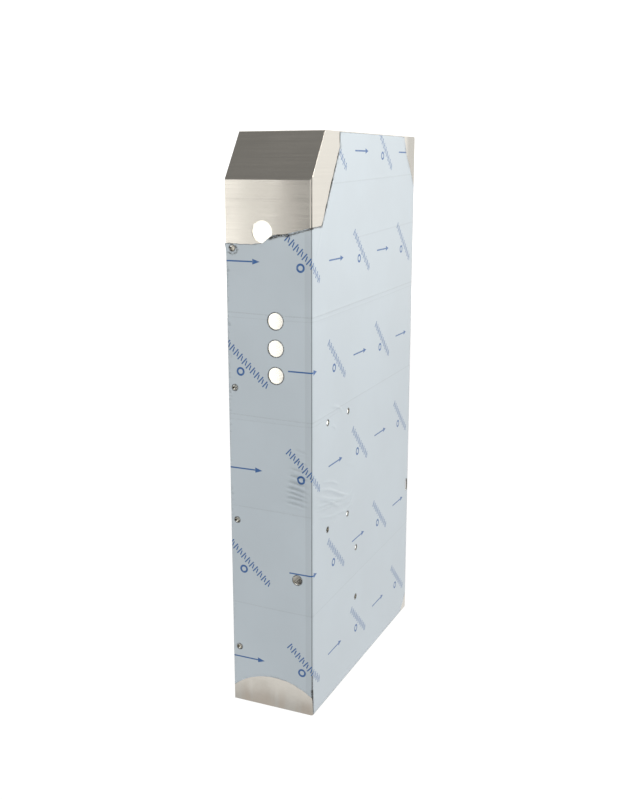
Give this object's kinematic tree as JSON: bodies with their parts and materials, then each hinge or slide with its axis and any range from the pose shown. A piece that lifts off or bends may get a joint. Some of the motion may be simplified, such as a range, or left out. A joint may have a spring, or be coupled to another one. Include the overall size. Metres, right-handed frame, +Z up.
{
  "type": "ticket vending machine casing",
  "caption": "Tall narrow stainless ticket machine casing with a sloped brow, empty control holes, a hinged side door with turn locks and torn protective film.",
  "frame": {"origin": "centre of the floor anchor pattern on the base's underside, the middle of the casing's plan", "axes": "+X to the right seen from the front, +Y to the rear, +Z up"},
  "size_m": [0.1802, 0.5452, 1.1],
  "materials": {
    "stainless": "brushed stainless sheet, grain along the sheet",
    "film": "pale blue-grey protective film, semi-matte, printed arrows and bars",
    "foam": "black closed-cell foam",
    "rubber": "black moulded rubber",
    "brass": "turned",
    "hinge_steel": "satin stainless",
    "lock_chrome": "satin chrome on zinc",
    "zinc_cam": "bright zinc plate",
    "fastener": "plain stainless",
    "galvanised": "galvanised strip"
  },
  "bodies": {
    "casing": {"casing_shell": "stainless", "base_tray": "stainless", "cable_entry_trim": "rubber", "hinge_post": "stainless", "seal_angle": "stainless", "wall_strip": "stainless", "door_frame_front": "stainless", "door_frame_slope": "stainless", "door_frame_top": "stainless", "door_frame_bottom": "stainless", "film_body": "film", "equipment_rail_front": "galvanised", "equipment_rail_rear": "galvanised", "rail_studs": "fastener", "rail_nuts": "fastener", "earth_stud_base": "fastener", "earth_nut_base": "fastener", "hinge_screws_post": "fastener", "hinge_nuts_post": "fastener", "hinge_lower_post_leaf": "hinge_steel", "hinge_lower_pin": "hinge_steel", "hinge_lower_washer": "brass", "hinge_middle_post_leaf": "hinge_steel", "hinge_middle_pin": "hinge_steel", "hinge_middle_washer": "brass", "hinge_upper_post_leaf": "hinge_steel", "hinge_upper_pin": "hinge_steel", "hinge_upper_washer": "brass"},
    "door": {"side_door": "stainless", "film_door": "film", "door_gasket": "foam", "door_stiffener_lower": "stainless", "door_stiffener_upper": "stainless", "earth_stud_door": "fastener", "earth_nut_door": "fastener", "hinge_screws_door": "fastener", "hinge_nuts_door": "fastener", "hinge_lower_door_leaf": "hinge_steel", "hinge_middle_door_leaf": "hinge_steel", "hinge_upper_door_leaf": "hinge_steel", "lock_lower_housing": "lock_chrome", "lock_lower_nut": "lock_chrome", "lock_upper_housing": "lock_chrome", "lock_upper_nut": "lock_chrome"},
    "lock_lower": {"lock_lower_barrel": "lock_chrome", "lock_lower_cam": "zinc_cam", "lock_lower_cam_screw": "zinc_cam"},
    "lock_upper": {"lock_upper_barrel": "lock_chrome", "lock_upper_cam": "zinc_cam", "lock_upper_cam_screw": "zinc_cam"}
  },
  "joints": [
    {"name": "door_swing", "type": "hinge", "parent": "casing", "child": "door", "pos_m": [-0.09, 0.2435, 0.56], "axis": [0, 0, -1], "range_deg": [0, 90]},
    {"name": "lock_lower_turn", "type": "hinge", "parent": "door", "child": "lock_lower", "pos_m": [-0.085, -0.228, 0.24], "axis": [-1, 0, 0], "range_deg": [0, 90]},
    {"name": "lock_upper_turn", "type": "hinge", "parent": "door", "child": "lock_upper", "pos_m": [-0.085, -0.228, 0.85], "axis": [-1, 0, 0], "range_deg": [0, 90]}
  ]
}
